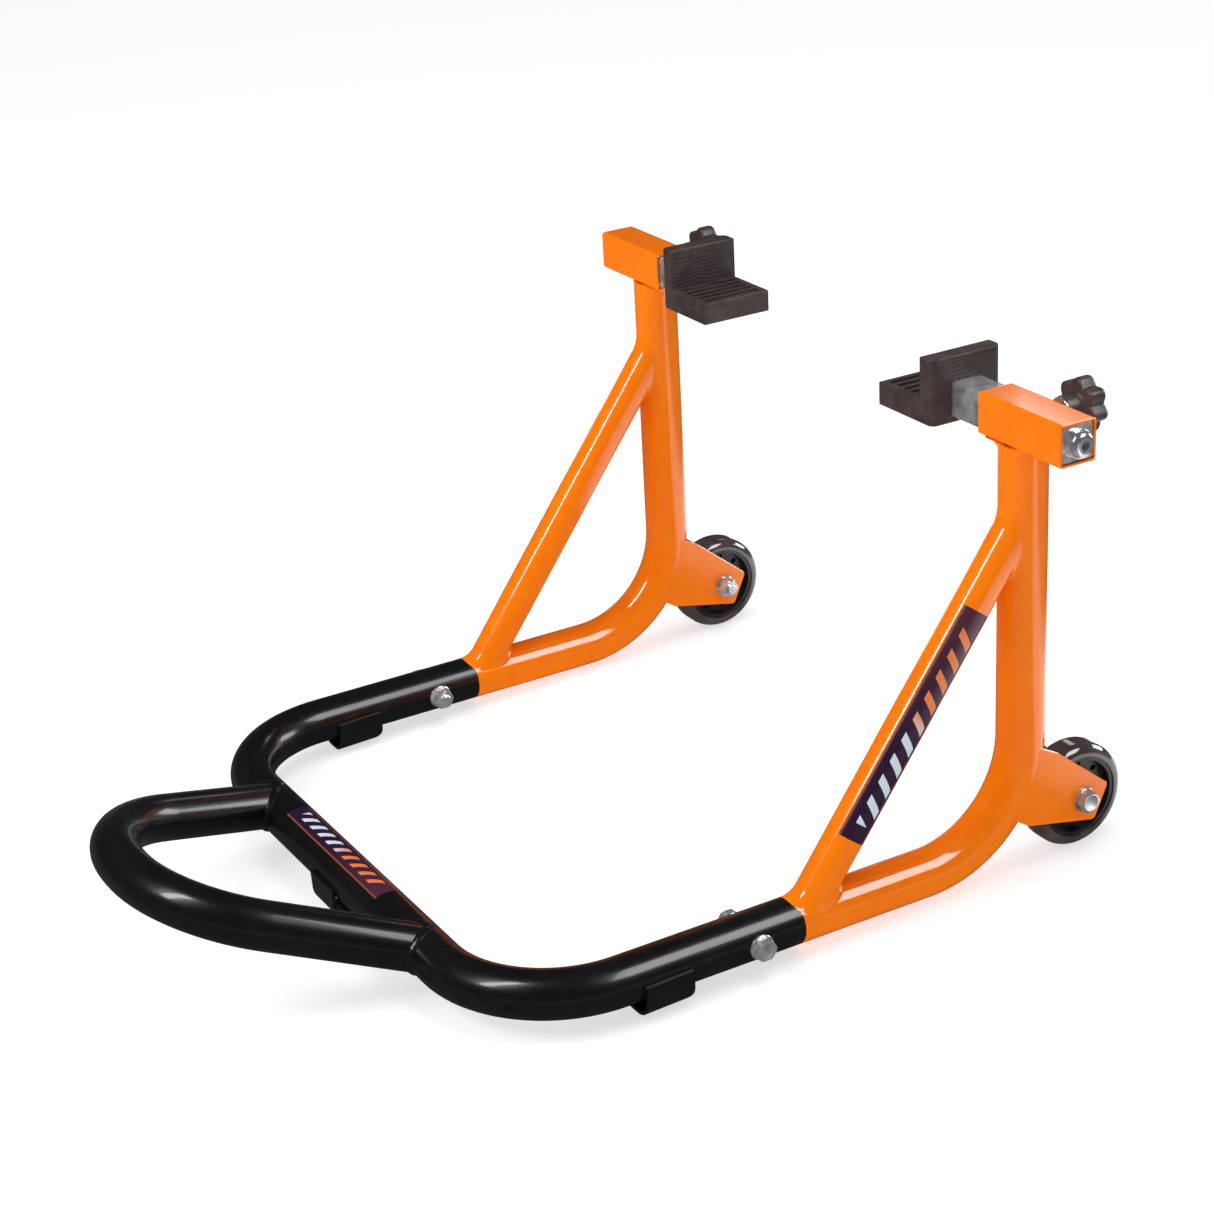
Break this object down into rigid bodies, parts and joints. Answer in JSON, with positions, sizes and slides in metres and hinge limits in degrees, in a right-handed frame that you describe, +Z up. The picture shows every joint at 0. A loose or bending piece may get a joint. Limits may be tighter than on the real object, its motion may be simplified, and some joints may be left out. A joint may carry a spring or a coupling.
{
  "type": "motorcycle paddock stand",
  "caption": "Rear motorcycle paddock stand: black U-bent base with a handle loop, orange braced legs, sliding rubber support pads clamped by star knobs, and a wheel behind each leg.",
  "frame": {"origin": "on the floor, in the middle of the stand's length and width", "axes": "+X to the right leg, +Y from the handle to the wheels, +Z up from the floor"},
  "size_m": [0.6634, 0.7452, 0.4007],
  "materials": {
    "orange_paint": "gloss powder coat",
    "black_paint": "gloss powder coat",
    "zinc": "bright zinc plate",
    "bearing_steel": "ground steel",
    "pad_rubber": "moulded rubber",
    "knob_plastic": "moulded plastic",
    "wheel_tread": "glossy polyurethane",
    "wheel_hub": "moulded nylon"
  },
  "bodies": {
    "stand": {"base_tube": "black_paint", "handle_loop": "black_paint", "foot_front": "black_paint", "foot_right": "black_paint", "leg_tube_right": "orange_paint", "brace_tube_right": "orange_paint", "pad_housing_right": "orange_paint", "clamp_nut_right": "orange_paint", "fork_plate_outer_right": "orange_paint", "fork_plate_inner_right": "orange_paint", "joint_bolt_right": "zinc", "joint_washers_right": "zinc", "joint_nut_right": "zinc", "axle_bolt_right": "zinc", "axle_washers_right": "zinc", "axle_nut_right": "zinc", "wheel_spacers_right": "zinc", "bearing_inner_rings_right": "bearing_steel", "foot_left": "black_paint", "leg_tube_left": "orange_paint", "brace_tube_left": "orange_paint", "pad_housing_left": "orange_paint", "clamp_nut_left": "orange_paint", "fork_plate_outer_left": "orange_paint", "fork_plate_inner_left": "orange_paint", "joint_bolt_left": "zinc", "joint_washers_left": "zinc", "joint_nut_left": "zinc", "axle_bolt_left": "zinc", "axle_washers_left": "zinc", "axle_nut_left": "zinc", "wheel_spacers_left": "zinc", "bearing_inner_rings_left": "bearing_steel"},
    "pad_arm_right": {"slide_tube_right": "zinc", "slide_end_plate_right": "zinc", "pad_washer_right": "zinc", "pad_screw_right": "zinc", "pad_nut_right": "zinc", "support_pad_right": "pad_rubber"},
    "clamp_washer_right": {"clamp_washer_right": "zinc"},
    "clamp_right": {"clamp_screw_right": "zinc", "clamp_knob_right": "knob_plastic"},
    "wheel_right": {"wheel_tread_right": "wheel_tread", "wheel_hub_right": "wheel_hub", "bearing_outer_rings_right": "bearing_steel", "bearing_balls_right": "bearing_steel"},
    "pad_arm_left": {"slide_tube_left": "zinc", "slide_end_plate_left": "zinc", "pad_washer_left": "zinc", "pad_screw_left": "zinc", "pad_nut_left": "zinc", "support_pad_left": "pad_rubber"},
    "clamp_washer_left": {"clamp_washer_left": "zinc"},
    "clamp_left": {"clamp_screw_left": "zinc", "clamp_knob_left": "knob_plastic"},
    "wheel_left": {"wheel_tread_left": "wheel_tread", "wheel_hub_left": "wheel_hub", "bearing_outer_rings_left": "bearing_steel", "bearing_balls_left": "bearing_steel"}
  },
  "joints": [
    {"name": "pad_slide_right", "type": "slide", "parent": "stand", "child": "pad_arm_right", "axis": [1, 0, 0], "range_m": [-0.043, 0.034]},
    {"name": "clamp_travel_right", "type": "slide", "parent": "stand", "child": "clamp_washer_right", "axis": [0, 0.9995, -0.0314], "range_m": [0, 0.006]},
    {"name": "clamp_turn_right", "type": "hinge", "parent": "clamp_washer_right", "child": "clamp_right", "pos_m": [0.2616, 0.32527, 0.3644], "axis": [0, 0.9995, -0.0314], "range_deg": [0, 1440]},
    {"name": "wheel_spin_right", "type": "hinge", "parent": "stand", "child": "wheel_right", "pos_m": [0.2616, 0.32962, 0.043], "axis": [1, 0, 0], "continuous": true},
    {"name": "pad_slide_left", "type": "slide", "parent": "stand", "child": "pad_arm_left", "axis": [-1, 0, 0], "range_m": [-0.043, 0.034]},
    {"name": "clamp_travel_left", "type": "slide", "parent": "stand", "child": "clamp_washer_left", "axis": [0, 0.9995, -0.0314], "range_m": [0, 0.006]},
    {"name": "clamp_turn_left", "type": "hinge", "parent": "clamp_washer_left", "child": "clamp_left", "pos_m": [-0.2616, 0.32527, 0.3644], "axis": [0, 0.9995, -0.0314], "range_deg": [0, 1440]},
    {"name": "wheel_spin_left", "type": "hinge", "parent": "stand", "child": "wheel_left", "pos_m": [-0.2616, 0.32962, 0.043], "axis": [1, 0, 0], "continuous": true}
  ],
  "couplings": [
    {"joint": "clamp_travel_right", "follows": "clamp_turn_right", "m_per_rad": 0.00023873},
    {"joint": "clamp_travel_left", "follows": "clamp_turn_left", "m_per_rad": 0.00023873}
  ]
}
